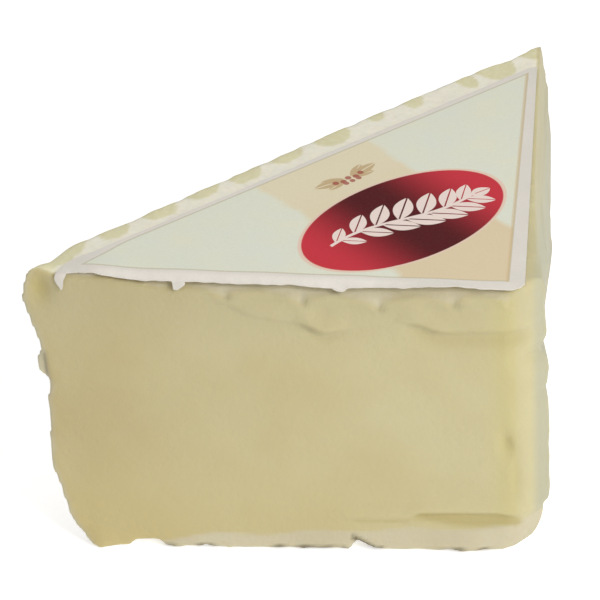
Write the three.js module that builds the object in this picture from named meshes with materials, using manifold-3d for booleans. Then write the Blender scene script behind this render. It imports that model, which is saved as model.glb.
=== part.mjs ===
// A quarter of a square triple cream cheese, cut from the whole by two knife cuts that meet at its
// centre, with a triangular paper label lying on top. Millimetres, +Z up.
//
// The front cut runs along X and faces -Y, the right cut runs along Y and faces +X, and the moulded
// rind closes the third side, from the front left tip to the back right tip. The rind all round
// carries the square grid of the draining mould, as soft pillows with grooves between them.
import * as THREE from "three";
import { mergeVertices } from "three/addons/utils/BufferGeometryUtils.js";
import Module from "manifold-3d";

// Driving dimensions of the wedge
const HALF_LABEL = 44; // half of the label's leg, and the front cut's distance from the middle
const RIM_HEIGHT = 60.2; // the cheese's height at its outer rim
const CENTRE_DIP = 2.8; // how much lower the top lies at the centre of the whole cheese
const TIP_DEPTH = HALF_LABEL * Math.SQRT2; // from the rind side to the centre of the whole cheese
const RIGHT_CUT_FRONT = 47.8; // X of the right cut's soft bulge, at its front end
const RIGHT_CUT_BACK = 46.5; // and from its middle to the back tip
const CENTRE_EDGE_RADIUS = 4.6; // the soft upright edge where the two cuts meet

// The grid that the draining mould pressed in the rind
const PITCH = 10.4;
const GROOVE_START = -46.9; // the first groove across the top, along the rind side
const SIDE_GROOVE_HEIGHT = 45.8; // the highest groove that runs along the side
const TOP_GROOVE = 0.6;
const SIDE_GROOVE_UP = 0.8; // of the grooves that run up the side
const SIDE_GROOVE_LEVEL = 1.7; // and of those that run along it
const BASE_GROOVE = 1.5;
const GROOVE_WIDTH = 1.3; // from a groove's middle to where it is a third as deep
const BASE_GROOVE_START = -51.3;
const BASE_GROOVE_DEPTH_START = 16.1; // the first groove under the cheese that runs along the side
const GRID_SHARES = [0, 0.12, 0.32, 0.68, 0.88]; // where a grid square's outline has its points

// The rind side
const TIP_PROUD = 0.3; // how far the pillows stand out at the two tips
const MIDDLE_PROUD = 1.8; // and at the middle of the side
const RIM_LIP = 1.1; // how much further the topmost row of pillows stands out
const BOW_FROM = 25;
const BOW_TO = 62;
const SHOULDER = 1.2; // the top edge's rounding
const FOOT_IN = 4.2; // the bottom edge's rounding, inwards and upwards
const FOOT_UP = 18;
const FLAT_ROUND = 1.5; // the power of the flattened roundings at the foot, where 2 is an ellipse

// The paper label
const LABEL_THICKNESS = 0.2;
const LABEL_GAP = 0.12;
const LABEL_RIM = 2.8; // the paper's distance from the rind side
const LABEL_LEFT_END = -54; // where its edge along the rind side turns off to each tip
const LABEL_RIGHT_END = 50;
const LABEL_CORNER = 2.6;

const SHORTEST_EDGE = 0.04;

const smooth = (from, to, value) => {
  const t = THREE.MathUtils.clamp((value - from) / (to - from), 0, 1);
  return t * t * (3 - 2 * t);
};
const bump = (value, centre, width) =>
  Math.exp(-(((value - centre) / width) ** 2));

// How uneven one groove or pillow is against the next, from 0 to 1.
const uneven = (k) => 0.5 + 0.5 * Math.sin(1.7 * k + 2.7);

// The share of a full groove at a distance along the grid: 1 in a groove, 0 on a pillow's crown.
function groove(along, start) {
  const line = Math.round((along - start) / PITCH);
  const wander = 0.7 * (uneven(line + 7) - 0.5);
  const off = along - start - wander - line * PITCH;
  const swell = 1 - Math.abs(Math.sin((Math.PI * off) / PITCH));
  const share = 0.7 * bump(off, 0, GROOVE_WIDTH) + 0.3 * swell;
  return share * (0.6 + 0.6 * uneven(line));
}

// The height of the rind's top surface at a depth in from the rind side.
const topHeight = (depth) => RIM_HEIGHT - (CENTRE_DIP * depth) / TIP_DEPTH;

// Joins a stack of closed rings of points, all with as many points, into one closed solid.
// Each ring has flat, its points in the plane that its end cap is filled in.
function loft(rings) {
  const count = rings[0].points.length;
  const positions = rings.flatMap((ring) =>
    ring.points.flatMap((p) => [p.x, p.y, p.z]),
  );
  const faces = [];
  for (let r = 0; r + 1 < rings.length; r++)
    for (let i = 0; i < count; i++) {
      const a = r * count + i;
      const b = r * count + ((i + 1) % count);
      faces.push([a, b, b + count], [a, b + count, a + count]);
    }
  const cap = (ring, base, turned) => {
    const flat = ring.flat.slice();
    const clockwise = THREE.ShapeUtils.isClockWise(flat);
    const filled = THREE.ShapeUtils.triangulateShape(flat, []);
    for (const [a, b, c] of filled)
      faces.push(
        turned !== clockwise
          ? [base + a, base + c, base + b]
          : [base + a, base + b, base + c],
      );
  };
  const anticlockwise = !THREE.ShapeUtils.isClockWise(rings[0].flat);
  cap(rings[0], 0, anticlockwise);
  cap(rings.at(-1), (rings.length - 1) * count, !anticlockwise);
  const geometry = new THREE.BufferGeometry();
  geometry.setAttribute(
    "position",
    new THREE.Float32BufferAttribute(positions, 3),
  );
  geometry.setIndex(faces.flat());
  return geometry;
}

const wasm = await Module();
wasm.setup();

// A closed geometry as a solid, with its faces turned out.
function solid(geometry) {
  const merged = mergeVertices(geometry, 1e-4);
  const triVerts = new Uint32Array(merged.index.array);
  const vertProperties = new Float32Array(merged.attributes.position.array);
  const made = new wasm.Manifold(
    new wasm.Mesh({ numProp: 3, vertProperties, triVerts }),
  );
  if (made.volume() > 0) return made;
  for (let i = 0; i < triVerts.length; i += 3)
    [triVerts[i], triVerts[i + 1]] = [triVerts[i + 1], triVerts[i]];
  return new wasm.Manifold(
    new wasm.Mesh({ numProp: 3, vertProperties, triVerts }),
  );
}

// A solid's geometry, with the two ends of every very short edge drawn together, so that no sliver
// is left where one surface cut the other beside a corner.
function geometryOf(made) {
  const { vertProperties, triVerts } = made.getMesh();
  const corner = (i) => new THREE.Vector3().fromArray(vertProperties, 3 * i);
  const joined = [...Array(vertProperties.length / 3).keys()];
  const joinedTo = (i) => (joined[i] === i ? i : joinedTo(joined[i]));
  for (let t = 0; t < triVerts.length; t += 3)
    for (const [from, to] of [
      [0, 1],
      [1, 2],
      [2, 0],
    ]) {
      const a = triVerts[t + from];
      const b = triVerts[t + to];
      if (corner(a).distanceTo(corner(b)) < SHORTEST_EDGE)
        joined[joinedTo(a)] = joinedTo(b);
    }
  const faces = [];
  for (let t = 0; t < triVerts.length; t += 3) {
    const face = [...triVerts.slice(t, t + 3)].map(joinedTo);
    if (new Set(face).size === 3) faces.push(...face);
  }
  const geometry = new THREE.BufferGeometry();
  geometry.setAttribute(
    "position",
    new THREE.Float32BufferAttribute(vertProperties, 3),
  );
  geometry.setIndex(faces);
  geometry.computeVertexNormals();
  return geometry;
}

// From a place along the rind side and a depth in from it to X and Y.
const place = (along, depth, z) =>
  new THREE.Vector3(
    (along + depth) / Math.SQRT2,
    (along - depth) / Math.SQRT2,
    z,
  );

// Positions at which a grid of grooves needs points, between two ends.
function gridStops(start, from, to, shares) {
  const stops = [];
  const first = Math.floor((from - start) / PITCH) - 1;
  const last = Math.ceil((to - start) / PITCH) + 1;
  for (let k = first; k <= last; k++)
    for (const share of shares) stops.push(start + (k + share) * PITCH);
  return stops.filter((stop) => stop > from && stop < to);
}

// The rind's outline across the side, from deep under the top round the side to deep under the base.
// Every point has its way out and how deep the grid lies there.
function sectionPoints() {
  const points = [];
  for (const depth of [82, 66, 50, 36, 24, 14, 7])
    points.push({ depth, z: topHeight(depth), out: [0, 1], kind: "top" });
  const shoulderSteps = 3;
  for (let i = 0; i <= shoulderSteps; i++) {
    const turn = (i / shoulderSteps) * (Math.PI / 2);
    points.push({
      depth: SHOULDER * (1 - Math.sin(turn)),
      z: topHeight(SHOULDER) - SHOULDER * (1 - Math.cos(turn)),
      out: [-Math.sin(turn), Math.cos(turn)],
      kind: i < shoulderSteps ? "top" : "side",
    });
  }
  const sideStops = gridStops(
    SIDE_GROOVE_HEIGHT,
    FOOT_UP + 0.5,
    RIM_HEIGHT - SHOULDER - 0.8,
    GRID_SHARES,
  );
  for (const z of sideStops.sort((a, b) => b - a))
    points.push({ depth: 0, z, out: [-1, 0], kind: "side" });
  const footSteps = 8;
  for (let i = 0; i <= footSteps; i++) {
    const turn = (i / footSteps) * (Math.PI / 2);
    points.push({
      depth: FOOT_IN * (1 - Math.cos(turn) ** (2 / FLAT_ROUND)),
      z: FOOT_UP * (1 - Math.sin(turn) ** (2 / FLAT_ROUND)),
      out: [-Math.cos(turn), -Math.sin(turn)],
      kind: i < footSteps ? "side" : "base",
    });
  }
  const baseStops = gridStops(BASE_GROOVE_DEPTH_START, FOOT_IN + 1, 80, [
    0,
    1 / 4,
    3 / 4,
  ]);
  for (const depth of baseStops.sort((a, b) => a - b))
    points.push({ depth, z: 0, out: [0, -1], kind: "base" });
  points.push({ depth: 82, z: 0, out: [0, -1], kind: "base" });
  return points;
}

// How far the rind's surface lies inside its smooth outline at one point.
function relief(along, point) {
  if (point.kind === "top") return TOP_GROOVE * groove(along, GROOVE_START);
  if (point.kind === "side") {
    const foot = smooth(-4, FOOT_UP, point.z);
    const across = SIDE_GROOVE_UP * groove(along, GROOVE_START);
    const level = SIDE_GROOVE_LEVEL * groove(point.z, SIDE_GROOVE_HEIGHT);
    const swell = 0.3 * Math.sin(along / 17 + 1) * Math.sin(point.z / 15 + 0.4);
    return Math.hypot(across, level) * foot + swell;
  }
  const across = groove(along, BASE_GROOVE_START);
  const inwards =
    point.depth < BASE_GROOVE_DEPTH_START - PITCH / 2
      ? 0
      : groove(point.depth, BASE_GROOVE_DEPTH_START);
  const share = Math.max(across, inwards);
  return BASE_GROOVE * Math.max(0, (share - 0.42) / 0.58);
}

// The outer part of the whole cheese, rind all round, from past one tip to past the other.
function rindLoaf() {
  const section = sectionPoints();
  const ends = 70;
  const stops = gridStops(GROOVE_START, -ends, ends, GRID_SHARES);
  const rings = stops
    .sort((a, b) => a - b)
    .map((along) => {
      const tip = smooth(BOW_FROM, BOW_TO, Math.abs(along));
      const bow = -THREE.MathUtils.lerp(MIDDLE_PROUD, TIP_PROUD, tip);
      const flat = section.map((point) => {
        const inside = relief(along, point);
        const near = 1 - smooth(0, 20, point.depth);
        const atRim = smooth(45, 52, point.z) * (1 - smooth(1, 6, point.depth));
        const lip = RIM_LIP * atRim;
        return new THREE.Vector2(
          point.depth + bow * near - lip - point.out[0] * inside,
          point.z - point.out[1] * inside,
        );
      });
      return { flat, points: flat.map((p) => place(along, p.x, p.y)) };
    });
  return loft(rings);
}

// The welt that the knife pushed up under the top rind, as its height along the front cut.
const weltLine = new THREE.SplineCurve([
  new THREE.Vector2(-62, 54.5),
  new THREE.Vector2(-14, 54.9),
  new THREE.Vector2(-8.7, 54.4),
  new THREE.Vector2(-4.7, 51.8),
  new THREE.Vector2(1.5, 50.2),
  new THREE.Vector2(7.5, 48.6),
  new THREE.Vector2(14, 50.2),
  new THREE.Vector2(21, 50.4),
  new THREE.Vector2(27, 49.1),
  new THREE.Vector2(35, 48.9),
  new THREE.Vector2(50, 49.2),
]);
const weltPoints = weltLine.getSpacedPoints(200);
function weltHeight(x) {
  const after = weltPoints.findIndex((p) => p.x >= x);
  if (after < 1) return weltPoints.at(after).y;
  const a = weltPoints[after - 1];
  const b = weltPoints[after];
  return a.y + ((b.y - a.y) * (x - a.x)) / (b.x - a.x);
}

const STEP_HEIGHT = 8.4; // the lower knife mark on the front cut

// How far the front cut lies in from its plane.
function frontCut(x, z) {
  const welt = smooth(-16, -6, x);
  const below = z - weltHeight(x);
  const step = smooth(4, 16, x);
  return (
    -0.75 * welt * bump(below, 0.5, 1.1) +
    0.45 * welt * bump(below, -1.6, 1.3) -
    0.5 * bump(x, -1, 7) * bump(z, 53.2, 2.6) -
    0.45 * step * bump(z, STEP_HEIGHT + 0.7, 0.9) +
    0.95 * step * bump(z, 6.4, 1.7) * smooth(6, 34, x) +
    1.0 * bump(x, 40.4, 1.7) * bump(z, 24.4, 3.4) +
    0.35 * bump(x, -38, 4) * bump(z, 57, 4) -
    0.9 * bump(z, 0, 4) * (1 - smooth(34, 42, x)) +
    0.25 * Math.sin(x / 13) * Math.sin(z / 19 + 1)
  );
}

// Where the right cut lies: the soft paste bulges out below the top edge, with a few ragged dips.
function rightCut(y, z) {
  const bulge = THREE.MathUtils.lerp(
    RIGHT_CUT_FRONT,
    RIGHT_CUT_BACK,
    smooth(-35, 5, y),
  );
  const topEdge = HALF_LABEL + 0.4;
  const rounding = THREE.MathUtils.lerp(5, 26, smooth(-HALF_LABEL, 10, y));
  const down = THREE.MathUtils.clamp((RIM_HEIGHT - z) / rounding, 0, 1);
  return (
    THREE.MathUtils.lerp(topEdge, bulge, Math.sin((down * Math.PI) / 2)) -
    0.9 * bump(z, 46, 2.6) * bump(y, -HALF_LABEL, 22) -
    0.3 * bump(z, 36.5, 2.2) * bump(y, -HALF_LABEL, 20) -
    0.7 * (1 - smooth(10, 12.5, z))
  );
}

// How far the cuts curl in at the base of their common edge.
const CURL_IN = 5.6;
const CURL_UP = 9;
function footCurl(z) {
  const share = THREE.MathUtils.clamp(1 - z / CURL_UP, 0, 1);
  return CURL_IN * (1 - (1 - share ** FLAT_ROUND) ** (1 / FLAT_ROUND));
}

// Everything behind both knife cuts, as a stack of outlines.
function knifeCuts() {
  const lower = [-3, 0, 1.5, 3, 4.6, 6.2, 7.4, 8.3, 9.1, 10.2, 13];
  const middle = [17.5, 21.5, 24.4, 27.5, 33, 38];
  const upper = [
    42, 45, 46.9, 48.2, 49.2, 50.0, 50.9, 52, 53.2, 54.6, 56.4, 59, 65,
  ];
  const weltLevel = 49.5;
  const arcSteps = 5;
  const rings = [...lower, ...middle, ...upper].map((level) => {
    const follow = smooth(36, 47, level) * (1 - smooth(50, 64, level));
    const height = (x) => level + follow * (weltHeight(x) - weltLevel);
    const curl = footCurl(Math.max(0, level));
    const points = [new THREE.Vector3(-62, -HALF_LABEL, level)];
    const cornerX = rightCut(-HALF_LABEL, level) - CENTRE_EDGE_RADIUS - curl;
    const frontPoints = 31;
    for (let i = 0; i <= frontPoints; i++) {
      const x = THREE.MathUtils.lerp(-50, cornerX, i / frontPoints);
      const z = height(x);
      points.push(new THREE.Vector3(x, -HALF_LABEL + frontCut(x, z), z));
    }
    const edgeZ = height(cornerX);
    const frontY = -HALF_LABEL + frontCut(cornerX, edgeZ);
    for (let i = 1; i <= arcSteps; i++) {
      const turn = (i / arcSteps) * (Math.PI / 2);
      points.push(
        new THREE.Vector3(
          cornerX + CENTRE_EDGE_RADIUS * Math.sin(turn),
          frontY + CENTRE_EDGE_RADIUS * (1 - Math.cos(turn)),
          THREE.MathUtils.lerp(edgeZ, level, i / arcSteps),
        ),
      );
    }
    const rightPoints = 10;
    const startY = frontY + CENTRE_EDGE_RADIUS;
    for (let i = 1; i <= rightPoints; i++) {
      const y = THREE.MathUtils.lerp(startY, 58, i / rightPoints);
      const x = rightCut(y, level) - curl * (1 - smooth(-40, 20, y));
      points.push(new THREE.Vector3(x, y, level));
    }
    points.push(new THREE.Vector3(-62, 58, level));
    return { points, flat: points.map((p) => new THREE.Vector2(p.x, p.y)) };
  });
  return loft(rings);
}

// The cheese: rind loaf less what the two knife cuts took away.
function cheeseWedge() {
  const made = solid(rindLoaf()).intersect(solid(knifeCuts()));
  const paste = new THREE.MeshStandardMaterial({
    color: 0xd9cf9d,
    roughness: 0.55,
  });
  const mesh = new THREE.Mesh(geometryOf(made), paste);
  mesh.name = "cheese_wedge";
  return mesh;
}

// The label's front and right edges in plan, with its rounded corner over the centre of the cheese.
const labelFront = (x) => -HALF_LABEL - 0.2 - 0.6 * (1 - smooth(-38, 26, x));
function labelRow(depth) {
  const cornerDepth = TIP_DEPTH - LABEL_CORNER * (Math.SQRT2 - 1);
  const arcDepth = TIP_DEPTH - LABEL_CORNER / Math.SQRT2;
  if (depth >= arcDepth) {
    const share = (cornerDepth - depth) / (cornerDepth - arcDepth);
    const half = (LABEL_CORNER / Math.SQRT2) * Math.sqrt(Math.max(share, 0.02));
    return [-half, half];
  }
  const straight = TIP_DEPTH - depth;
  const overhang = labelFront((depth - straight) / Math.SQRT2) + HALF_LABEL;
  const leftTip = LABEL_LEFT_END - 3.4 * (depth - LABEL_RIM);
  const rightTip = LABEL_RIGHT_END + 2.3 * (depth - LABEL_RIM);
  return [
    Math.max(-straight + overhang, leftTip),
    Math.min(straight, rightTip),
  ];
}

// How much the paper waves: it lifts at the front left and sinks a little between the pillows.
function labelWave(along, depth) {
  const x = (along + depth) / Math.SQRT2;
  const y = (along - depth) / Math.SQRT2;
  const front = 1 - smooth(0, 9, y + HALF_LABEL);
  return (
    0.9 * bump(x, -33, 6) * front +
    0.25 * (1 + Math.sin(along * ((2 * Math.PI) / PITCH) + 1)) * front
  );
}

// The paper label, a thin wavy sheet with both faces split alike.
function paperLabel() {
  const rows = 11;
  const columns = 26;
  const lastDepth = TIP_DEPTH - LABEL_CORNER * (Math.SQRT2 - 1) - 0.02;
  const sheet = (lift) => {
    const points = [];
    for (let i = 0; i <= rows; i++) {
      const depth = THREE.MathUtils.lerp(
        LABEL_RIM,
        lastDepth,
        Math.sin((i / rows) * (Math.PI / 2)),
      );
      const [left, right] = labelRow(depth);
      for (let j = 0; j <= columns; j++) {
        const along = THREE.MathUtils.lerp(left, right, j / columns);
        const wave = labelWave(along, depth);
        points.push(place(along, depth, topHeight(depth) + lift + wave));
      }
    }
    return points;
  };
  const base = sheet(LABEL_GAP);
  const face = sheet(LABEL_GAP + LABEL_THICKNESS);
  const width = columns + 1;
  const faces = [];
  for (let i = 0; i < rows; i++)
    for (let j = 0; j < columns; j++) {
      const a = i * width + j;
      for (const [p, q, r] of [
        [a, a + 1, a + width + 1],
        [a, a + width + 1, a + width],
      ]) {
        faces.push([p, q, r]);
        faces.push([p + base.length, r + base.length, q + base.length]);
      }
    }
  const rim = [];
  for (let j = 0; j < columns; j++) rim.push(j);
  for (let i = 0; i < rows; i++) rim.push(i * width + columns);
  for (let j = columns; j > 0; j--) rim.push(rows * width + j);
  for (let i = rows; i > 0; i--) rim.push(i * width);
  rim.forEach((a, i) => {
    const b = rim[(i + 1) % rim.length];
    faces.push([a, a + base.length, b + base.length]);
    faces.push([a, b + base.length, b]);
  });
  const geometry = new THREE.BufferGeometry();
  const positions = [...base, ...face].flatMap((p) => [p.x, p.y, p.z]);
  geometry.setAttribute(
    "position",
    new THREE.Float32BufferAttribute(positions, 3),
  );
  geometry.setIndex(faces.flat());
  const paper = new THREE.MeshStandardMaterial({
    color: 0xe3e0cd,
    roughness: 0.6,
  });
  const mesh = new THREE.Mesh(geometryOf(solid(geometry)), paper);
  mesh.name = "paper_label";
  return mesh;
}

const group = new THREE.Group();
group.add(cheeseWedge(), paperLabel());

// The origin is under the middle of the whole, at the level that it stands on.
const reach = new THREE.Box3().setFromObject(group);
const middle = reach.getCenter(new THREE.Vector3());
group.position.set(-middle.x, -middle.y, -reach.min.z);

export default group;
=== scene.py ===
from math import pi, radians, sqrt

import bmesh
import bpy
import numpy as np
from mathutils import Matrix, Vector


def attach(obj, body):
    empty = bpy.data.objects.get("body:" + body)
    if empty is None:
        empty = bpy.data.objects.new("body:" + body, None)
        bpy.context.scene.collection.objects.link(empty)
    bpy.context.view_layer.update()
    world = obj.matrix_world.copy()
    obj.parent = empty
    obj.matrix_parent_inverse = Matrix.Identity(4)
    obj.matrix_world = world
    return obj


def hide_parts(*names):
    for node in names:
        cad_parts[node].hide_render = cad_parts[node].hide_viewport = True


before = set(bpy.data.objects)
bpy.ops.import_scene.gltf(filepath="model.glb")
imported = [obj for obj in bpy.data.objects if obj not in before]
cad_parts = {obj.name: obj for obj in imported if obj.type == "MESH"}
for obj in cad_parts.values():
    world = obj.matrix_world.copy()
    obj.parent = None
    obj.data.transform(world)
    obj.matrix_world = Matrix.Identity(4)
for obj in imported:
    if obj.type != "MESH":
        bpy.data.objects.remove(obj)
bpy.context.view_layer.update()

# The cheese wedge.
# A quarter of a square loaf of soft, surface-ripened curd. It is moulded on draining mats that press a
# square grid in the rind, ripened under white bloom, and cut with a knife along both diagonals.
MM = 0.001
OWN_MIDDLE = np.array([-0.99, -0.93, 0.0])  # the middle between the two tips, in the part's frame, in mm
HALF_LEG = 44.0
TIP_DEPTH = HALF_LEG * sqrt(2)
RIM_HEIGHT = 60.2
CENTRE_DIP = 2.8
RIGHT_CUT_FRONT = 47.8
RIGHT_CUT_BACK = 46.5
CENTRE_EDGE_RADIUS = 4.6
PITCH = 10.4


def in_part(x, y, z=0.0):
    """A place on the wedge's own axes, in mm, as a place in the part's frame, in metres."""
    return Vector((x + OWN_MIDDLE[0], y + OWN_MIDDLE[1], z + OWN_MIDDLE[2])) * MM


def across(first, second):
    """Own x and y as places along the rind side and in from it, and the other way round."""
    return (first + second) / sqrt(2), (first - second) / sqrt(2)


def on_slant(along, depth, z=0.0):
    """The same as in_part, for a place given along the rind side and in from it."""
    return in_part(*across(along, depth), z)


def select_only(piece):
    """Makes piece the one selected and active object."""
    bpy.ops.object.select_all(action="DESELECT")
    piece.select_set(True)
    bpy.context.view_layer.objects.active = piece


def pick_edges(piece, wanted):
    """In edit mode, selects only the edges with both ends where wanted(x, y, z) holds, in own mm."""
    bpy.ops.mesh.select_all(action="DESELECT")
    mesh = bmesh.from_edit_mesh(piece.data)
    for edge in mesh.edges:
        if all(wanted(*(np.array(v.co) / MM - OWN_MIDDLE)) for v in edge.verts):
            edge.select_set(True)
    bmesh.update_edit_mesh(piece.data)


def apply_modifier(piece, kind, **settings):
    """Adds a modifier with these settings to the active piece and applies it."""
    modifier = piece.modifiers.new(kind.lower(), kind)
    for name, value in settings.items():
        setattr(modifier, name, value)
    bpy.ops.object.modifier_apply(modifier=modifier.name)


def cut_off(place, way_out, fill=True):
    """Cuts off what lies beyond a plane, in edit mode."""
    bpy.ops.mesh.select_all(action="SELECT")
    bpy.ops.mesh.bisect(plane_co=place, plane_no=way_out.normalized(), use_fill=fill, clear_outer=True)


def round_corner(middle, radius, fill=True):
    """Rounds the corner between the front and right cuts in four facets, in edit mode."""
    for turn in (11.25, 33.75, 56.25, 78.75):
        way = Vector((np.cos(radians(turn)), -np.sin(radians(turn)), 0))
        cut_off(middle + way * radius * MM, way, fill)


loaf_length, loaf_depth = 136.0, 72.0
bpy.ops.object.select_all(action="DESELECT")
bpy.ops.mesh.primitive_cube_add(
    size=1,
    location=on_slant(0, loaf_depth / 2, RIM_HEIGHT / 2),
    rotation=(0, 0, radians(45)),
    scale=(loaf_length * MM, loaf_depth * MM, RIM_HEIGHT * MM),
)
cheese = bpy.context.object
cheese.name = "cut_cheese"
cheese.data.name = "cut_cheese"
bpy.ops.object.transform_apply(location=True, rotation=True, scale=True)
bpy.ops.object.mode_set(mode="EDIT")
pick_edges(cheese, lambda x, y, z: abs(x - y) < 0.1 and abs(z - RIM_HEIGHT) < 0.1)
bpy.ops.mesh.bevel(offset=1.3 * MM, segments=4)
bpy.ops.object.mode_set(mode="OBJECT")
select_only(cheese)
apply_modifier(cheese, "REMESH", mode="VOXEL", voxel_size=0.68 * MM, use_smooth_shade=True)
apply_modifier(cheese, "SMOOTH", factor=0.5, iterations=2)


def smooth(low, high, value):
    """0 below low, 1 above high, with a soft change between."""
    t = np.clip((value - low) / (high - low), 0, 1)
    return t * t * (3 - 2 * t)


def bump(value, centre, width):
    """A soft hump: 1 at centre, about a third at width from it."""
    return np.exp(-(((value - centre) / width) ** 2))


def uneven(k):
    """How uneven one groove is against the next, from 0 to 1."""
    return 0.5 + 0.5 * np.sin(1.7 * k + 2.7)


def groove(along, start, width=1.3):
    """The share of a full groove at a distance along the mould's grid."""
    line = np.round((along - start) / PITCH)
    off = along - start - 0.7 * (uneven(line + 7) - 0.5) - line * PITCH
    swell = 1 - np.abs(np.sin(pi * off / PITCH))
    return (0.7 * bump(off, 0, width) + 0.3 * swell) * (0.6 + 0.6 * uneven(line))


def positions(mesh):
    """The mesh's points on the wedge's own axes, in mm, one row each."""
    flat = np.empty(len(mesh.vertices) * 3)
    mesh.vertices.foreach_get("co", flat)
    return flat.reshape(-1, 3) / MM - OWN_MIDDLE


def put_back(mesh, points):
    """Writes such points back to the mesh."""
    mesh.vertices.foreach_set("co", ((points + OWN_MIDDLE) * MM).ravel())
    mesh.update()


GROOVE_START = -46.9
SIDE_GROOVE_HEIGHT = 45.8
FOOT_UP = 18.0

# The left tip's ragged outline: how far in the side's skin lies at each height.
TIP_Z = [
    -1, 1.6, 3.6, 6.2, 8.9, 11.6, 14.2, 16.9, 19.6, 22.2, 25, 29, 32.9, 35.6, 36.9, 38.2, 40.9, 43.6, 46.2,
    48.9, 51.6, 54.2, 57, 59.5, 61.3,
]
TIP_IN = [
    4.4, 3.1, 1.95, 0.9, 0.65, 0.15, -0.1, -0.6, -0.85, -0.5, -0.5, -0.1, -0.15, 0.5, 0.2, -0.9, -1.15, -0.2,
    -0.3, -0.9, -1.35, -1.75, -1.4, -0.7, -0.1,
]


def side_skin(along, depth, z):
    """How far the rind side's skin goes in: its bow, the lip at the rim, the pillows and the foot."""
    tip = smooth(43, 62, np.abs(along))
    bow = -(2.1 - 1.8 * tip) * (1 - smooth(0, 20, depth))
    at_rim = smooth(45, 52, z) * (1 - smooth(1, 6, depth))
    lip = -(1.1 + 0.4 * (1 - smooth(-30, 0, along))) * at_rim * (1 - 0.8 * smooth(50, 60, along))
    foot_share = smooth(-4, FOOT_UP, z)
    up = (0.85 - 0.7 * smooth(44, 57, z)) * groove(along, GROOVE_START)
    level = 1.8 * groove(z, SIDE_GROOVE_HEIGHT) * (1 - smooth(49, 54, z))
    waves = 0.3 * np.sin(along / 17 + 1) * np.sin(z / 15 + 0.4)
    pillows = (np.hypot(up, level) * foot_share + waves) * (1 - smooth(0.5, 5, depth))
    share = np.clip(1 - z / FOOT_UP, 0, 1)
    foot = 4.2 * (1 - (1 - share**1.5) ** (1 / 1.5)) * (1 - smooth(0, 24, depth))
    torn = np.interp(z, TIP_Z, TIP_IN) * (1 - smooth(0, 24, depth))
    left = 1 - smooth(-60, -50, along)
    return (bow + lip + pillows + foot) * (1 - left) + torn * left - 0.9 * at_rim * bump(along, -52, 7)


def base_groove(along, depth):
    """The share of the mat's grooves under the cheese."""
    inwards = groove(depth, 16.1) * (depth > 16.1 - PITCH / 2)
    share = np.maximum(groove(along, -51.3), inwards)
    return np.maximum(0, (share - 0.42) / 0.58)


def tip_rise(along, depth):
    """How far the rim stands up at the left tip."""
    return 0.8 * bump(along, -61, 4) * (1 - smooth(1.5, 3.5, depth))


# The gaps at the front cut's foot: each place, half width, height at its left, and how much the height
# falls per mm to its right.
FRONT_NOTCHES = [
    (-29.1, 3.3, 1.9, 0), (-16.5, 0.7, 0.8, 0), (13.5, 1.9, 2.5, 0.6), (29.6, 0.6, 0.5, 0),
    (37.1, 0.7, 0.5, 0),
]

# The loaf's own form comes first, with the mats' grid on its side, top and base.
x, y, z = positions(cheese.data).T
along, depth = across(x, y)
top_share = smooth(50, RIM_HEIGHT, z)
new_depth = depth + side_skin(along, depth, z)
new_z = z - CENTRE_DIP * depth / TIP_DEPTH * (z / RIM_HEIGHT)
new_z = new_z + (tip_rise(along, depth) - 0.14 * groove(along, GROOVE_START)) * top_share
at_front = 1 - smooth(0, 7, y + HALF_LEG)
base_depth = 1.5 * base_groove(along, depth) * (1 - 0.85 * at_front)
for notch_x, notch_half, notch_up, fall in FRONT_NOTCHES:
    sides = smooth(notch_half + 0.4, notch_half - 0.4, np.abs(x - notch_x))
    roof = notch_up - fall * (x - notch_x + notch_half)
    base_depth = np.maximum(base_depth, roof * sides * at_front)
new_z = new_z + base_depth * (1 - smooth(0, 5, z))
put_back(cheese.data, np.stack([*across(along, new_depth), new_z], axis=1))

# Woolly lumps of bloom, all over the loaf.
for grain, height in ((1.3, 0.3), (4.0, 0.45)):
    lumps = bpy.data.textures.new(f"bloom_lumps_{grain}", "CLOUDS")
    lumps.noise_scale = grain * MM
    lumps.noise_depth = 2
    apply_modifier(cheese, "DISPLACE", texture=lumps, strength=height * MM, mid_level=0.55)

# Then the knife takes the quarter out. The soft corner between the two cuts is pressed round. Voxels of
# 0.6 mm keep the cheese under 200,000 triangles.
bpy.ops.object.mode_set(mode="EDIT")
cut_off(in_part(0, -HALF_LEG), Vector((0, -1, 0)))
cut_off(in_part(RIGHT_CUT_FRONT, 0), Vector((1, 0, 0)))
edge_middle = in_part(RIGHT_CUT_FRONT - CENTRE_EDGE_RADIUS, -HALF_LEG + CENTRE_EDGE_RADIUS)
round_corner(edge_middle, CENTRE_EDGE_RADIUS)
bpy.ops.object.mode_set(mode="OBJECT")
select_only(cheese)
apply_modifier(cheese, "REMESH", mode="VOXEL", voxel_size=0.6 * MM, use_smooth_shade=True)
apply_modifier(cheese, "SMOOTH", factor=0.5, iterations=2)


def eased(x, knots_x, knots_z):
    """A line through knots, with its corners softened."""
    spread = [-1.2, -0.6, 0.0, 0.6, 1.2]
    return sum(np.interp(x + s, knots_x, knots_z) for s in spread) / len(spread)


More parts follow.
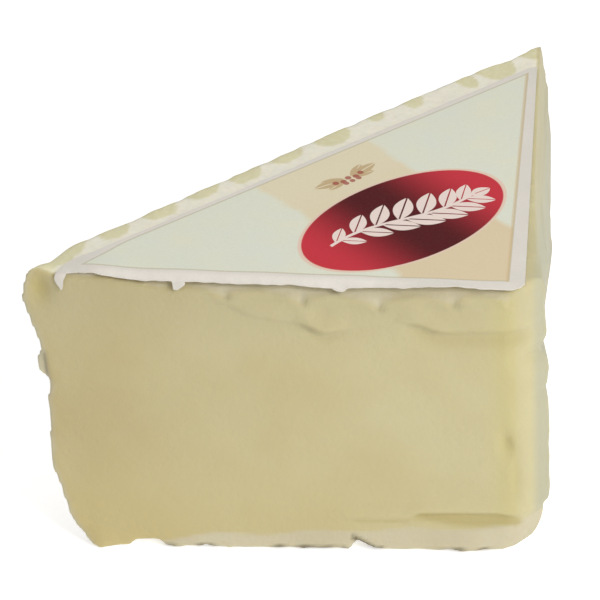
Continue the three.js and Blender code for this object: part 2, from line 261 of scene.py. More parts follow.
WELT_X = [-62, -14, -8.7, -4.7, 1.5, 5.0, 7.8, 9.5, 14, 21, 25.3, 28.4, 35, 50]
WELT_Z = [54.5, 54.9, 54.2, 51.7, 50.6, 50.4, 48.2, 48.6, 49.9, 50.7, 50.5, 48.8, 48.9, 49.2]
WELT_SHARE_X = [-16, -9, -3, 3, 5.5, 9.0, 13, 21, 24.5, 28.5, 33, 43, 46]
WELT_SHARE = [0, 0.5, 0.5, 0.7, 1.4, 1.1, 0.3, 0.3, 1.1, 1.1, 0.9, 0.8, 0.5]
STEP_X = [8, 21.6, 23.2, 31.7, 39.1, 43.1, 48]
STEP_Z = [7.0, 7.1, 8.5, 8.8, 9.0, 8.2, 7.6]
CUSP_X = [-44, -32, -20.5, -8.7, 4.9, 18.5, 31.8, 41.5, 56]
CUSP_Z = [60, 58.6, 56.9, 55.6, 54.6, 53.4, 54.2, 55.0, 55.0]
ARCH_RISE = [0.2, 0.5, 0.9, 1.5, 1.7, 2.3, 1.9, 1.1, 1.1]


def past_cusp(x):
    """How far x is from the last cusp to the next, from 0 to 1."""
    return np.interp(x, CUSP_X, np.arange(len(CUSP_X))) % 1


def lip_line(x):
    """The upper edge of the paste on the front cut: an arch at each pillow, a cusp at each groove."""
    cusp = np.interp(x, CUSP_X, CUSP_Z)
    rise = np.interp(x, CUSP_X, ARCH_RISE)
    return cusp + rise * np.sin(pi * past_cusp(x) ** 0.75) ** 0.5


def dent(x, z, wide, high):
    """The share of the leaning dent near the front cut's right edge, that wide and high."""
    return bump(x, 40.3 + 0.12 * (24.4 - z), wide) * bump(z, 24.4, high)


def scooped(x, z):
    """The share of the hollow that the knife left under the lower step of the front cut."""
    over_step = z - eased(x, STEP_X, STEP_Z)
    below = 1.3 + 3.0 * bump(x, 35, 9)
    ends = smooth(10, 13, x) * (0.4 + 0.6 * smooth(21.5, 25, x)) * (1 - smooth(40.5, 44.5, x))
    ends = ends * (1 - 0.7 * bump(x, 22.4, 0.8))
    return ends * smooth(0.3, -0.8, over_step) * smooth(-below, -0.6 * below, over_step)


def chipped(x, z):
    """The share of the chip at the left tip, where a pillow of rind shows behind the cut's edge."""
    return smooth(-42.5, -43.2, x + 0.06 * (z - 40)) * smooth(35.2, 36.8, z) * (1 - smooth(42.4, 44.0, z))


def front_cut(x, z):
    """How far the front cut goes in from its plane: the knife's smears, steps and dent."""
    welt = np.interp(x, WELT_SHARE_X, WELT_SHARE)
    over_welt = z - eased(x, WELT_X, WELT_Z)
    step = smooth(8, 12, x) * (0.45 + 0.55 * smooth(21, 25, x))
    over_step = z - eased(x, STEP_X, STEP_Z)
    marks = 0.16 * np.maximum(x - 40.8, 0) ** 1.5
    marks = marks - 0.62 * welt * smooth(-0.5, 0.3, over_welt) * (1 - smooth(1.0, 5.2, over_welt))
    marks = marks + 0.5 * np.maximum(welt - 0.25, 0) * bump(over_welt, -1.1, 0.9)
    marks = marks + 0.4 * smooth(22, 27, x) * (1 - smooth(43, 46, x)) * bump(over_welt, -2.4, 1.7)
    marks = marks - 0.45 * bump(x, -1, 6) * bump(z, 53.0, 1.6)
    fold = smooth(0.6, 0.92, past_cusp(x)) * (1 - smooth(0.95, 1.0, past_cusp(x))) * smooth(-24, -14, x)
    marks = marks - 0.3 * fold * bump(z - lip_line(x), -0.8, 1.1)
    marks = marks - 0.5 * step * smooth(-0.45, 0.2, over_step) * (1 - smooth(0.5, 3.5, over_step))
    marks = marks + 0.5 * scooped(x, z)
    marks = marks + 0.9 * dent(x, z, 1.1, 2.6)
    marks = marks + 0.35 * bump(x, 42.2, 0.8) * bump(z, 17, 5)
    marks = marks + 0.9 * bump(x, -42.3, 1.9) * bump(z, 57.0, 3.2)
    marks = marks + 1.0 * chipped(x, z)
    marks = marks - 0.9 * bump(z, 0, 4) * (1 - smooth(34, 42, x)) - 1.0 * bump(z, 0, 3) * bump(x, -36, 2.6)
    return marks + 0.25 * np.sin(x / 13) * np.sin(z / 19 + 1)


def right_cut(y, z):
    """The right cut's place: soft curd that bulges out below its top edge, with the knife's marks."""
    bulge = RIGHT_CUT_FRONT + (RIGHT_CUT_BACK - RIGHT_CUT_FRONT) * smooth(-35, 5, y)
    rounding = 5 + 21 * smooth(-HALF_LEG, 10, y)
    down = np.sin(np.clip((RIM_HEIGHT - z) / rounding, 0, 1) * pi / 2)
    top_edge = HALF_LEG + 0.4
    behind_edge = smooth(-41, -26, y)
    ragged = 1.25 * bump(z, 42.6, 1.9) * bump(y, -HALF_LEG, 22)
    ragged = ragged + 0.35 * smooth(45, 49, z) * bump(y, -HALF_LEG, 14) + 0.25 * bump(z, 51.5, 1.0)
    ragged = ragged + 0.5 * bump(z, 33.6, 1.3) * bump(y, -HALF_LEG, 20) + 0.2 * bump(z, 21.5, 1.6)
    ragged = ragged - 0.3 * bump(z, 38.3, 1.3) * bump(y, -HALF_LEG, 20) - 0.25 * bump(z, 12, 2.4)
    ragged = ragged + 0.9 * (1 - smooth(8.0, 9.6, z)) - 0.4 * bump(z, 22, 10) * bump(y, -HALF_LEG, 20)
    hollow = 1.5 * behind_edge * (1 - smooth(44, 70, z + 0.62 * (y + HALF_LEG)))
    over_welt = z - (49.5 + 1.3 * np.sin(y / 8) + 0.5 * np.sin(y / 3.6 + 1))
    marks = 0.4 * smooth(-0.5, 0.3, over_welt) * (1 - smooth(1.0, 5.0, over_welt))
    marks = marks - 0.4 * bump(over_welt, -1.0, 0.9)
    marks = marks - 0.6 * bump(y, 12, 14) * bump(z - 0.12 * y, 17, 1.6)
    marks = marks - 0.8 * bump(y, -9, 1.6) * bump(z, 32, 2.6) - 0.5 * bump(y, 24, 1.0) * bump(z, 38, 1.4)
    return top_edge + (bulge - top_edge) * down - ragged - hollow + marks * behind_edge


def foot_curl(z):
    """How far the corner between the cuts curls in at its foot."""
    share = np.clip(1 - z / 7.0, 0, 1)
    return 2.9 * (1 - (1 - share**1.5) ** (1 / 1.5))


# What the knife has touched is fresh paste, the rest is rind.
x, y, z = positions(cheese.data).T
along, depth = across(x, y)
from_front, from_right = y + HALF_LEG, RIGHT_CUT_FRONT - x
turn_in = CENTRE_EDGE_RADIUS - np.hypot(
    np.maximum(CENTRE_EDGE_RADIUS - from_front, 0), np.maximum(CENTRE_EDGE_RADIUS - from_right, 0)
)
from_cut = np.where(turn_in < CENTRE_EDGE_RADIUS - 1e-6, turn_in, np.minimum(from_front, from_right))
dragged_front = 2.6 * smooth(52, 57, z) * smooth(-34, -24, x)
dragged_right = 3.4 * smooth(44, 57, z) * (1 - smooth(28, 37, y))
from_cut = np.minimum(from_cut, np.minimum(from_front - dragged_front, from_right - dragged_right))
rind = smooth(0.25, 0.85, from_cut)

# The cuts take the marks of the knife, and the rind's edge sinks between its pillows on the front cut.
near_front = 1 - smooth(0, 6, from_front)
near_right = smooth(30, RIGHT_CUT_FRONT, x)
lip = lip_line(x)
rim = RIM_HEIGHT - CENTRE_DIP * depth / TIP_DEPTH
tucked = smooth(0.0, 0.9, from_front)
soft_lip = np.interp(x, CUSP_X, CUSP_Z) + 0.65 * np.interp(x, CUSP_X, ARCH_RISE)
sink_to = lip * (1 - tucked) + soft_lip * tucked
sink = np.maximum(rim - sink_to, 0) * bump(from_front, 0, 1.7) * smooth(47, 59, z)
sink = sink * smooth(-40, -24, x) * (1 - 0.9 * smooth(39, 44.5, x))
lid = rim + 0.22 * (1 - smooth(2.6, 4.4, depth)) + tip_rise(along, depth)
new_z = np.maximum(np.minimum(z, lid) - sink, 0)
new_x = x + (right_cut(y, z) - RIGHT_CUT_FRONT) * near_right
new_x = new_x - foot_curl(z) * near_right * (1 - smooth(-40, 20, y))
new_y = y + front_cut(x, new_z) * near_front
put_back(cheese.data, np.stack([new_x, new_y, new_z], axis=1))
select_only(cheese)
apply_modifier(cheese, "SMOOTH", factor=0.5, iterations=1)
bpy.ops.object.shade_smooth()
on_x, on_y, on_z = positions(cheese.data).T
on_along, on_depth = across(on_x, on_y)

# Where the bloom is rubbed off the rim's pillows: where each patch starts and ends along the rind side,
# and how far in it reaches.
RUBBED = [
    (-73.5, -47.5, 1.8), (-46.2, -39.0, 0.9), (-36.5, -28.0, 0.9), (-26.4, -18.0, 0.5), (-16.4, -8.2, 1.2),
    (-6.6, 2.2, 0.6), (4.3, 13.4, 1.9), (17.7, 22.3, 0.0), (26.9, 32.1, 1.1), (40.6, 45.3, 2.9),
    (46.0, 55.8, 3.9), (56.6, 72.0, 3.0),
]
inner = np.full(len(x), -9.0)
lower = np.full(len(x), RIM_HEIGHT)
for start, end, deep in RUBBED:
    off_middle = np.abs(on_along + 0.15 * on_depth - (start + end) / 2) / ((end - start) / 2)
    inner = np.maximum(inner, -3.2 + (deep + 3.2) * (1 - off_middle**4))
    lower = np.minimum(lower, RIM_HEIGHT - 2.4 - 4.0 * (1 - off_middle**2))
inner = inner + 0.25 * np.sin(on_along * 2.3) * np.sin(on_along * 0.7 + 1)
patch = (1 - smooth(-0.35, 0.4, on_depth - inner)) * smooth(-1.4, 0.8, on_z - lower)
level_crests = 1 - smooth(0.0, 0.6, groove(z, SIDE_GROOVE_HEIGHT))
crests = (1 - smooth(0.0, 0.6, groove(along, GROOVE_START))) * level_crests
patch = np.maximum(patch, 0.4 * crests * (1 - smooth(0.5, 4, depth)) * (1 - smooth(44, 52, z)))
patch = np.maximum(patch, (1 - smooth(-59.5, -57.5, on_along)) * smooth(50, 56, on_z))
bloom = np.clip(1 - patch, 0, 1)

# Where the rind's own section shows on the cuts, and painted shade in their hollows, dents and under the
# ledge.
paste = 1 - rind
band_top = (2.2 + 0.045 * (x + 35) + 0.35 * np.sin(x * 0.35)) * smooth(-34, -18, x) + 1.5 * smooth(40, 46, x)
band_top = band_top * (1 - smooth(-30, 10, y) * 0.4)
section = paste * (1 - smooth(-0.3, 0.3, new_z - band_top))
skin_in = depth - side_skin(along, 0, z)
section = np.maximum(section, 0.8 * paste * (1 - smooth(0.5, 1.5, skin_in)))
over_lip = smooth(-0.5, 0.3, new_z - lip) * smooth(-30, -20, x) * (1 - smooth(39, 44.5, x))
section = np.maximum(section, paste * over_lip * near_front)
on_chip = chipped(x, new_z) * near_front
rind = np.maximum(rind, 0.5 * on_chip)
# Painted shade in the hollow under the lower step, in the dent, in the left tip's hollow and under the
# ledge.
hollow_shade = 0.8 * scooped(x, new_z) + 0.45 * dent(x, new_z, 1.0, 2.4)
hollow_shade = hollow_shade + 0.9 * bump(x, -42.4, 1.8) * bump(new_z, 57.2, 3.2)
hollow_shade = hollow_shade + 0.3 * bump(x, 42.0, 0.8) * bump(new_z, 17, 5)
hollow_shade = hollow_shade + 0.6 * bump(x, 43.0, 1.0) * bump(new_z, 6.3, 0.7)
under_ledge = bump(new_z - eased(x, WELT_X, WELT_Z), -2.2, 1.7)
hollow_shade = hollow_shade + 0.3 * under_ledge * smooth(22, 27, x) * (1 - smooth(43, 46, x))
hollow_shade = np.clip(hollow_shade, 0, 1) * near_front

# Painted shade along the front cut's foot, where it meets the table, each place and half width, and painted
# shade in the crack there, at the cusps and beside the chip.
FOOT_SHADES = [
    (-25.5, 0.7), (-23.4, 1.2), (-17.4, 1.1), (-15.2, 0.8), (-2.5, 1.3), (2.0, 1.6), (5.8, 2.2), (9.8, 0.6),
    (16.6, 0.5), (30.5, 2.4), (37.0, 1.7),
]
crease_shade = sum(bump(x, crease_shade_x, half) for crease_shade_x, half in FOOT_SHADES)
crease_shade = 0.8 * np.minimum(crease_shade, 1) * (1 - smooth(0.6, 1.4, on_z + 0.2 * np.sin(x * 1.3 + 1)))
crack = smooth(11.2, 11.7, x) * (1 - smooth(15.6, 16.1, x))
crease_shade = crease_shade + crack * bump(on_z, 2.8 - 0.6 * (x - 11.6), 0.65)
for cusp_x, cusp_z in zip(CUSP_X[3:7], CUSP_Z[3:7]):
    crease_shade = crease_shade + 0.3 * bump(x, cusp_x + 0.4, 0.8) * bump(new_z, cusp_z - 0.1, 0.7)
crease_shade = np.clip(crease_shade + 0.45 * on_chip * bump(x, -43.0, 0.4), 0, 1) * near_front
# The second attribute holds painted shade: in the hollows, and in the creases and along the foot.
for name, masks in (("marks", (rind, bloom, np.clip(section, 0, 1))), ("painted_shade", (hollow_shade, crease_shade, 0 * rind))):
    attribute = cheese.data.color_attributes.new(name, "FLOAT_COLOR", "POINT")
    attribute.data.foreach_set("color", np.stack([*masks, np.ones(len(rind))], axis=1).ravel())


def srgb(red, green, blue):
    """A colour as the eye reads it, 0 to 255, as the linear colour that a shader takes."""
    parts = [c / 255 for c in (red, green, blue)]
    return [p / 12.92 if p < 0.04045 else ((p + 0.055) / 1.055) ** 2.4 for p in parts] + [1.0]


def fine_grain():
    """Builds the fine grain that bloom, paste and paper share, as a share for colours and as relief."""
    group = bpy.data.node_groups.new("fine_grain", "ShaderNodeTree")
    for name, kind in (("Place", "Vector"), ("Scale", "Float"), ("Depth", "Float"), ("Below", "Vector")):
        group.interface.new_socket(name, in_out="INPUT", socket_type="NodeSocket" + kind)
    for name, kind in (("Share", "Float"), ("Normal", "Vector")):
        group.interface.new_socket(name, in_out="OUTPUT", socket_type="NodeSocket" + kind)
    given, made = group.nodes.new("NodeGroupInput"), group.nodes.new("NodeGroupOutput")
    noise = group.nodes.new("ShaderNodeTexNoise")
    noise.inputs["Detail"].default_value = 3.0
    stretch = group.nodes.new("ShaderNodeMapRange")
    stretch.inputs["From Min"].default_value = 0.35
    stretch.inputs["From Max"].default_value = 0.7
    relief = group.nodes.new("ShaderNodeBump")
    relief.inputs["Strength"].default_value = 0.3
    for source, target in (
        (given.outputs["Place"], noise.inputs["Vector"]),
        (given.outputs["Scale"], noise.inputs["Scale"]),
        (noise.outputs["Fac"], stretch.inputs["Value"]),
        (stretch.outputs["Result"], relief.inputs["Height"]),
        (given.outputs["Depth"], relief.inputs["Distance"]),
        (given.outputs["Below"], relief.inputs["Normal"]),
        (stretch.outputs["Result"], made.inputs["Share"]),
        (relief.outputs["Normal"], made.inputs["Normal"]),
    ):
        group.links.new(source, target)
    return group


GRAIN = fine_grain()


class Finish:
    """A node material on Object coordinates, with short calls for the nodes that the finishes use."""

    def __init__(self, name):
        self.material = bpy.data.materials.new(name)
        self.material.use_nodes = True
        self.nodes = self.material.node_tree.nodes
        self.links = self.material.node_tree.links
        self.shader = self.nodes["Principled BSDF"]
        self.place = self.nodes.new("ShaderNodeTexCoord").outputs["Object"]

    def put(self, socket, value):
        """Links a socket, or sets a number or colour."""
        if isinstance(value, bpy.types.NodeSocket):
            self.links.new(value, socket)
        else:
            socket.default_value = value

    def math(self, kind, *values):
        """A Math node."""
        node = self.nodes.new("ShaderNodeMath")
        node.operation = kind
        for socket, value in zip(node.inputs, values):
            self.put(socket, value)
        return node.outputs[0]

    def blend(self, share, below, above):
        """From one colour to another."""
        mix = self.nodes.new("ShaderNodeMix")
        mix.data_type = "RGBA"
        for socket, value in ((mix.inputs[0], share), (mix.inputs[6], below), (mix.inputs[7], above)):
            self.put(socket, value)
        return mix.outputs[2]

    def span(self, value, low, high, to_low=0.0, to_high=1.0, kind="SMOOTHSTEP"):
        """A Map Range node."""
        node = self.nodes.new("ShaderNodeMapRange")
        node.interpolation_type = kind
        for name, number in (("From Min", low), ("From Max", high), ("To Min", to_low), ("To Max", to_high)):
            node.inputs[name].default_value = number
        self.put(node.inputs["Value"], value)
        return node.outputs["Result"]

    def split(self, value, kind="ShaderNodeSeparateXYZ"):
        """The three parts of a vector or a colour."""
        node = self.nodes.new(kind)
        self.put(node.inputs[0], value)
        return node.outputs[0], node.outputs[1], node.outputs[2]

    def masks(self, layer):
        """The three masks that a colour attribute holds."""
        node = self.nodes.new("ShaderNodeVertexColor")
        node.layer_name = layer
        return self.split(node.outputs["Color"], "ShaderNodeSeparateColor")

    def noise(self, scale, low, high, place=None):
        """Noise at a scale per metre, stretched so that low turns to 0 and high to 1."""
        node = self.nodes.new("ShaderNodeTexNoise")
        node.inputs["Scale"].default_value = scale
        node.inputs["Detail"].default_value = 3.0
        self.links.new(place or self.place, node.inputs["Vector"])
        return self.span(node.outputs["Fac"], low, high, kind="LINEAR")

    def relief(self, height, distance, strength, below=None):
        """A Bump node of that height, on top of another's normal."""
        node = self.nodes.new("ShaderNodeBump")
        node.inputs["Distance"].default_value = distance
        node.inputs["Strength"].default_value = strength
        self.links.new(height, node.inputs["Height"])
        if below:
            self.links.new(below, node.inputs["Normal"])
        return node.outputs["Normal"]

    def grain(self, scale, depth, below=None):
        """The shared grain at its own scale and depth: its share, and its normal on top of another."""
        node = self.nodes.new("ShaderNodeGroup")
        node.node_tree = GRAIN
        below = below or self.nodes.new("ShaderNodeNewGeometry").outputs["Normal"]
        for name, value in (("Place", self.place), ("Scale", scale), ("Depth", depth), ("Below", below)):
            self.put(node.inputs[name], value)
        return node.outputs["Share"], node.outputs["Normal"]


curd = Finish("cheese_paste_and_bloom")
rind_mask, bloom_mask, section_mask = curd.masks("marks")
# The painted shade masks: the hollows, then the creases and the foot.
hollow_shade_mask, crease_shade_mask, _ = curd.masks("painted_shade")
broad = curd.noise(45, 0.38, 0.64)
drawn = curd.nodes.new("ShaderNodeMapping")
drawn.inputs["Scale"].default_value = (0.07, 0.07, 1.0)
curd.put(drawn.inputs["Vector"], curd.place)
drag = curd.noise(420, 0.3, 0.7, place=drawn.outputs[0])
wavy = curd.relief(broad, 0.0006, 0.3)
wavy = curd.relief(drag, 0.00012, 0.35, wavy)
fine, feel = curd.grain(900, 0.00016, wavy)
curd.put(curd.shader.inputs["Normal"], feel)

# Painted shade: the paste is darker towards the left tip and pale at the loaf's middle, as the light falls
# off to the left, and it is greyer towards the top, under the overhanging rind and label. It is warm at the
# left foot and yellow just before the corner between the cuts.
part_x, _, part_z = curd.split(curd.place)
left_shade_share = curd.span(part_x, -0.045, 0.040, 1.0, 0.0, kind="LINEAR")
# Lit and shaded copies of the paste, blended by the painted shade towards the left.
lit_paste = curd.blend(broad, srgb(210, 201, 158), srgb(206, 195, 149))
shaded_paste = curd.blend(broad, srgb(200, 187, 141), srgb(196, 180, 131))
colour = curd.blend(left_shade_share, lit_paste, shaded_paste)
# Painted shade towards the top of the cuts, under the rind's and the label's overhang.
colour = curd.blend(curd.span(part_z, 0.040, 0.056, 0.0, 0.4), colour, srgb(190, 180, 141))
low_left = curd.math("MULTIPLY", left_shade_share, curd.span(part_z, 0.0, 0.035, 0.6, 0.0))
colour = curd.blend(low_left, colour, srgb(210, 192, 131))
to_corner = curd.span(part_x, 0.035, 0.0395, 0.0, 0.5)
near_corner = curd.math("MULTIPLY", to_corner, curd.span(part_x, 0.0405, 0.0425, 1.0, 0.0))
colour = curd.blend(near_corner, colour, srgb(205, 194, 130))
# Painted shade on the right cut: its colour is greyer and darker there.
colour = curd.blend(curd.span(part_x, 0.0436, 0.0456), colour, srgb(191, 187, 157))
colour = curd.blend(section_mask, colour, curd.blend(broad, srgb(212, 203, 173), srgb(205, 195, 163)))
# Painted shade in the hollows: under the lower step, in the dent, at the left tip and under the ledge.
colour = curd.blend(hollow_shade_mask, colour, srgb(192, 176, 116))
rubbed = curd.blend(fine, srgb(219, 212, 171), srgb(224, 218, 182))
white = curd.blend(fine, srgb(240, 235, 217), srgb(234, 229, 210))
skin = curd.blend(bloom_mask, rubbed, white)
colour = curd.blend(rind_mask, colour, skin)
# Painted shade, nearly black, along the foot, in the crack, at the cusps and beside the chip.
curd.put(curd.shader.inputs["Base Color"], curd.blend(crease_shade_mask, colour, srgb(92, 80, 50)))
curd.put(curd.shader.inputs["Roughness"], curd.span(rind_mask, 0, 1, 0.5, 0.85))
curd.shader.inputs["Subsurface Weight"].default_value = 0.25
curd.shader.inputs["Subsurface Radius"].default_value = (1.0, 0.8, 0.45)
curd.shader.inputs["Subsurface Scale"].default_value = 0.003
cheese.data.materials.append(curd.material)
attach(cheese, "root")
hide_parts("cheese_wedge")

# The paper label.
# A printed paper triangle that was laid on the whole cheese's top and cut with it. It lies on the rind
# with its margin drawn down over the front cut, lifts a little at the front left and hangs in torn bits.
LABEL_RIM = 3.4
LABEL_GAP = 0.06
LABEL_THICKNESS = 0.16
LABEL_CORNER = 2.6
LABEL_FRONT = -44.15
bpy.ops.object.select_all(action="DESELECT")
bpy.ops.mesh.primitive_grid_add(
    x_subdivisions=200, y_subdivisions=200, size=96 * MM, location=in_part(0, 0, RIM_HEIGHT)
)
label = bpy.context.object
label.name = "printed_label"
label.data.name = "printed_label"
bpy.ops.object.transform_apply(location=True, rotation=True, scale=True)


def slant_way(along, depth):
    """A direction given along the rind side and in from it."""
    return Vector((*across(along, depth), 0))


# The long side, the two blunt tips, the front and right sides, and the round corner between these.
bpy.ops.object.mode_set(mode="EDIT")
cut_off(on_slant(0, LABEL_RIM), slant_way(0.022, -1), fill=False)
cut_off(on_slant(-54, 2.2), slant_way(-1, -3.4), fill=False)
cut_off(on_slant(55, 4.5), slant_way(1, -2.3), fill=False)
cut_off(in_part(0, LABEL_FRONT), Vector((0, -1, 0)), fill=False)
cut_off(in_part(HALF_LEG, 0), Vector((1, 0, 0)), fill=False)
round_corner(in_part(HALF_LEG - LABEL_CORNER, LABEL_FRONT + LABEL_CORNER), LABEL_CORNER, fill=False)

# The torn bits: each from, to, and its rows, one step sideways, down, and the share of width kept.
TORN_BITS = [
    (
        -39.2, -36.6,
        [(-0.3, 0.7, 0.92), (-0.1, 0.6, 0.8), (0.1, 0.6, 0.75), (0.15, 0.6, 0.55), (0.0, 0.5, 0.4)],
    ),
    (-18.4, -15.8, [(0.1, 0.4, 0.95), (-0.2, 0.4, 0.8), (-0.25, 0.35, 0.7), (-0.15, 0.3, 0.6)]),
    (9.8, 13.4, [(0.1, 0.2, 0.75), (0.1, 0.2, 0.5)]),
]
for start, end, rows in TORN_BITS:
    pick_edges(label, lambda x, y, z: start < x < end and y < LABEL_FRONT + 0.01)
    for aside, down, kept in rows:
        step = {"value": (aside * MM, -0.07 * MM, -down * MM)}
        bpy.ops.mesh.extrude_region_move(TRANSFORM_OT_translate=step)
        bpy.ops.transform.resize(value=(kept, 1, 1))
bpy.ops.object.mode_set(mode="OBJECT")
select_only(label)

# How far the front edge droops at each place. The front part lies in soft waves.
DROOP_X = [-39.2, -36.9, -33.2, -31, -27, -20.4, -13.2, -4.3, 4.6, 8.5, 11.6, 15, 22.2, 31, 39.7, 43]
DROOP = [0.3, 0.1, 0.0, 0.3, 0.8, 0.75, 0.8, 0.75, 0.7, 0.95, 1.1, 0.75, 0.4, -0.15, 0.05, 0.1]
x, y, z = positions(label.data).T
along, depth = across(x, y)
front = 1 - smooth(0, 9, y + HALF_LEG)
new_z = z - CENTRE_DIP * depth / TIP_DEPTH + LABEL_GAP
new_z = new_z + 0.5 * bump(x, -33, 5) * front
new_z = new_z + 0.06 * (1 + np.sin(along * 2 * pi / PITCH + 1)) * front
edge = smooth(-42.3, LABEL_FRONT, y)
new_z = new_z - (eased(x, DROOP_X, DROOP) + 0.07 * np.sin(x * 1.7) * np.sin(x * 0.63)) * edge
new_y = y - 0.12 * edge * np.sin(x * 1.3 + 0.5) * np.sin(x * 0.47)
put_back(label.data, np.stack([x, new_y, new_z], axis=1))
apply_modifier(label, "SOLIDIFY", thickness=LABEL_THICKNESS * MM, offset=1)
bpy.ops.object.shade_smooth_by_angle(angle=radians(40))

paper = Finish("printed_paper")
axes = paper.nodes.new("ShaderNodeVectorMath")
axes.operation = "MULTIPLY_ADD"
paper.put(axes.inputs[0], paper.place)
axes.inputs[1].default_value = (1 / MM, 1 / MM, 1 / MM)
axes.inputs[2].default_value = tuple(-OWN_MIDDLE)
px, py, _ = paper.split(axes.outputs[0])
u = paper.math("MULTIPLY", paper.math("ADD", px, py), 1 / sqrt(2))
d = paper.math("MULTIPLY", paper.math("SUBTRACT", px, py), 1 / sqrt(2))
wobble = paper.noise(160, 0.3, 0.7)
fibre, feel = paper.grain(2500, 0.00004)

# The printed field, inside a thin keyline that runs along the three edges.
rim_line = paper.math("ADD", paper.math("MULTIPLY_ADD", u, 0.0273, 4.65), paper.span(u, -57, -42, 2.1, 0.0))
in_rim = paper.math("SUBTRACT", d, rim_line)
in_right = paper.math("SUBTRACT", paper.math("MULTIPLY_ADD", py, 0.015, 41.7), px)
in_front = paper.math("ADD", py, 41.6)
inside = paper.math("MINIMUM", in_rim, paper.math("MINIMUM", in_right, in_front))
field = paper.span(inside, -0.05, 0.05)
green = paper.blend(wobble, srgb(229, 229, 208), srgb(226, 228, 212))
from_band = paper.math("ABSOLUTE", paper.math("ADD", u, 0.6))
band = paper.span(paper.math("MULTIPLY_ADD", wobble, 1.6, from_band), 12.6, 14.6, 1.0, 0.0)
tan = paper.blend(paper.span(d, 6, 42), srgb(230, 219, 188), srgb(225, 207, 172))
print_colour = paper.blend(band, green, tan)

# A red oval with a pale border.
OVAL_MIDDLE = (-0.7, 30.9)
OVAL_HALF = (21.7, 12.6)
ou = paper.math("SUBTRACT", u, OVAL_MIDDLE[0])
od = paper.math("SUBTRACT", d, OVAL_MIDDLE[1])
wide = paper.math("POWER", paper.math("DIVIDE", ou, OVAL_HALF[0]), 2)
high = paper.math("POWER", paper.math("DIVIDE", od, OVAL_HALF[1]), 2)
reach = paper.math("SQRT", paper.math("ADD", wide, high))
ends = paper.span(paper.math("ABSOLUTE", ou), 2, 19)
red = paper.blend(ends, srgb(82, 4, 14), srgb(204, 50, 64))
print_colour = paper.blend(paper.span(reach, 1.03, 1.045, 1.0, 0.0), print_colour, srgb(234, 206, 186))
print_colour = paper.blend(paper.span(reach, 0.995, 1.01, 1.0, 0.0), print_colour, red)

# The ornaments: plain leaves and berries, a cream branch across the oval and a small sprig above it.
STEM_SWING = 2.2
STEM_WAVE = 44
SPRIG_U = 1.0
place = paper.nodes.new("ShaderNodeCombineXYZ")
paper.put(place.inputs["X"], u)
paper.put(place.inputs["Y"], d)


def leaf(at, turn, length, belly):
    """The mask of a pointed leaf from a place on the label, turned in degrees, with a bare midrib."""
    vein = 0.025
    own = paper.nodes.new("ShaderNodeMapping")
    own.vector_type = "TEXTURE"
    own.inputs["Location"].default_value = (at[0], at[1], 0)
    own.inputs["Rotation"].default_value = (0, 0, radians(turn))
    own.inputs["Scale"].default_value = (length, length, 1)
    paper.put(own.inputs["Vector"], place.outputs[0])
    out, side, _ = paper.split(own.outputs[0])
    side = paper.math("ABSOLUTE", side)
    half = paper.math("MULTIPLY", paper.math("MULTIPLY", out, paper.math("SUBTRACT", 1.0, out)), belly)
    mask = paper.span(paper.math("SUBTRACT", half, side), 0.0, 0.015)
    return paper.math("MULTIPLY", mask, paper.span(side, 0.5 * vein, vein))


def berry(at, radius):
    """The mask of a round berry."""
    far = paper.nodes.new("ShaderNodeVectorMath")
    far.operation = "DISTANCE"
    paper.put(far.inputs[0], place.outputs[0])
    far.inputs[1].default_value = (at[0], at[1], 0)
    return paper.span(far.outputs["Value"], radius - 0.08, radius + 0.08, 1.0, 0.0)


def together(masks):
    """The union of masks."""
    whole = masks[0]
    for mask in masks[1:]:
        whole = paper.math("MAXIMUM", whole, mask)
    return whole


def on_stem(s):
    """A place on the branch's stem, s mm along from the oval's middle."""
    return OVAL_MIDDLE[0] + s, OVAL_MIDDLE[1] + STEM_SWING * np.sin(2 * pi * s / STEM_WAVE)


swing = paper.math("SINE", paper.math("MULTIPLY", ou, 2 * pi / STEM_WAVE))
stem_off = paper.math("MULTIPLY", swing, STEM_SWING)
stem = paper.span(paper.math("ABSOLUTE", paper.math("SUBTRACT", od, stem_off)), 0.28, 0.4, 1.0, 0.0)
stem = paper.math("MULTIPLY", stem, paper.span(paper.math("ABSOLUTE", ou), 15.6, 15.9, 1.0, 0.0))
branch = [stem, leaf(on_stem(14.6), 6, 4.6, 1.2)]
for s in (-14.4, -9.9, -5.4, -0.9, 3.6, 8.1, 12.0):
    length = 8.0 * (1 - (s / 24) ** 2)
    branch.append(leaf(on_stem(s), -38, length, 0.95))
    branch.append(leaf(on_stem(s + 1.2), 46, length * 0.96, 0.95))
print_colour = paper.blend(together(branch), print_colour, srgb(240, 222, 212))

sprig = []
for turn, length in ((205, 5.2), (168, 5.2), (190, 7.0), (12, 5.2), (-28, 5.2), (-8, 7.0)):
    sprig.append(leaf((SPRIG_U + 0.6 * np.cos(radians(turn)), 13.2), turn, length, 0.7))
print_colour = paper.blend(paper.math("MULTIPLY", together(sprig), 0.75), print_colour, srgb(190, 160, 112))
berries = [berry((SPRIG_U + 1.5 * k, 13.1 + 0.5 * (k % 2)), 0.62) for k in range(-2, 3)]
berries += [berry((SPRIG_U + 1.5 * k, 14.4), 0.55) for k in (-1, 0, 1)]
print_colour = paper.blend(paper.math("MULTIPLY", together(berries), 0.85), print_colour, srgb(168, 82, 72))

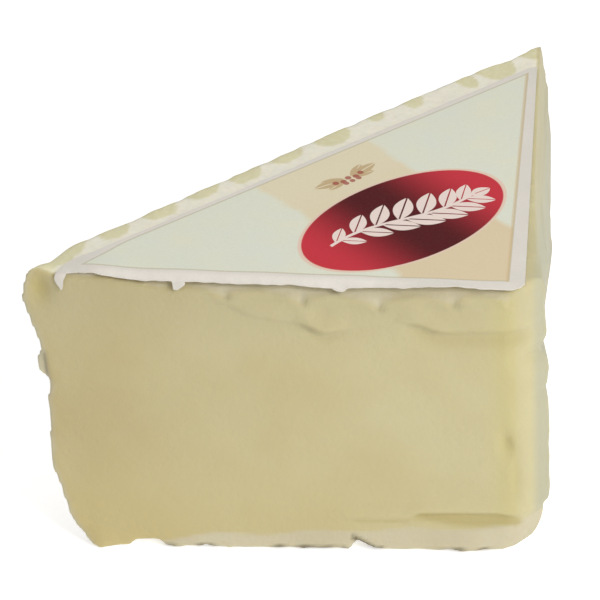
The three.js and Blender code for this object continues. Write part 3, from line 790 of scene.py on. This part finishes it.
# The bare margin, and the keylines over it.
margin = paper.blend(wobble, srgb(225, 219, 208), srgb(229, 223, 213))
colour = paper.blend(field, margin, print_colour)
keyline = paper.span(paper.math("ABSOLUTE", inside), 0.1, 0.26, 1.0, 0.0)
colour = paper.blend(paper.math("MULTIPLY", keyline, 0.5), colour, srgb(184, 174, 138))
right_line = paper.span(paper.math("ABSOLUTE", paper.math("SUBTRACT", in_right, 0.15)), 0.2, 0.42, 1.0, 0.0)
right_line = paper.math("MULTIPLY", right_line, paper.span(inside, -0.4, -0.1))
colour = paper.blend(paper.math("MULTIPLY", right_line, 0.5), colour, srgb(212, 186, 142))
colour = paper.blend(paper.math("MULTIPLY", fibre, 0.05), colour, srgb(120, 112, 90))
paper.put(paper.shader.inputs["Base Color"], colour)
paper.shader.inputs["Roughness"].default_value = 0.5
paper.shader.inputs["Specular IOR Level"].default_value = 0.25
paper.put(paper.shader.inputs["Normal"], feel)
label.data.materials.append(paper.material)
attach(label, "root")
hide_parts("paper_label")

# The stage: a white table in soft studio light, with the key from the front right.
bpy.ops.object.select_all(action="DESELECT")
bpy.ops.mesh.primitive_plane_add(size=6, location=(0, 0, -0.0002))
table = bpy.context.object
table.name = "white_table"
board = Finish("white_table")
board.shader.inputs["Base Color"].default_value = (0.9, 0.9, 0.9, 1)
board.shader.inputs["Roughness"].default_value = 0.9
board.shader.inputs["Emission Color"].default_value = (1, 1, 1, 1)
seen = board.nodes.new("ShaderNodeLightPath").outputs["Is Camera Ray"]
board.put(board.shader.inputs["Emission Strength"], board.math("MULTIPLY_ADD", seen, 0.25, 0.25))
table.data.materials.append(board.material)

world = bpy.data.worlds.new("studio")
world.use_nodes = True
world.node_tree.nodes["Background"].inputs["Color"].default_value = (1, 1, 1, 1)
world.node_tree.nodes["Background"].inputs["Strength"].default_value = 0.32
bpy.context.scene.world = world


def softbox(name, place, size, power):
    """A square area light at a place, aimed at the cheese's middle."""
    bpy.ops.object.light_add(type="AREA", location=place)
    lamp = bpy.context.object
    lamp.name = name
    lamp.data.size = size
    lamp.data.energy = power
    aim = Vector((0.01, -0.01, 0.03)) - Vector(place)
    lamp.rotation_euler = aim.to_track_quat("-Z", "Y").to_euler()


softbox("key", (0.36, -0.36, 0.40), 0.25, 1.9)
softbox("overhead", (0.0, -0.05, 0.9), 0.5, 2.1)

# The camera, at the photograph's place.
TURN_LEFT, LOOK_DOWN, LEAN = 8.12, 31.95, -3.74
bpy.ops.object.camera_add(location=in_part(57.35, -414.81, 288.62))
camera = bpy.context.object
camera.name = "photo_camera"
camera.data.sensor_width = 36
camera.data.lens = 150
camera.data.clip_start = 0.01
turned = Matrix.Rotation(radians(TURN_LEFT), 3, "Z") @ Matrix.Rotation(radians(90 - LOOK_DOWN), 3, "X")
camera.rotation_euler = (turned @ Matrix.Rotation(radians(LEAN), 3, "Z")).to_euler()
bpy.context.scene.camera = camera
bpy.context.scene.view_settings.view_transform = "Standard"
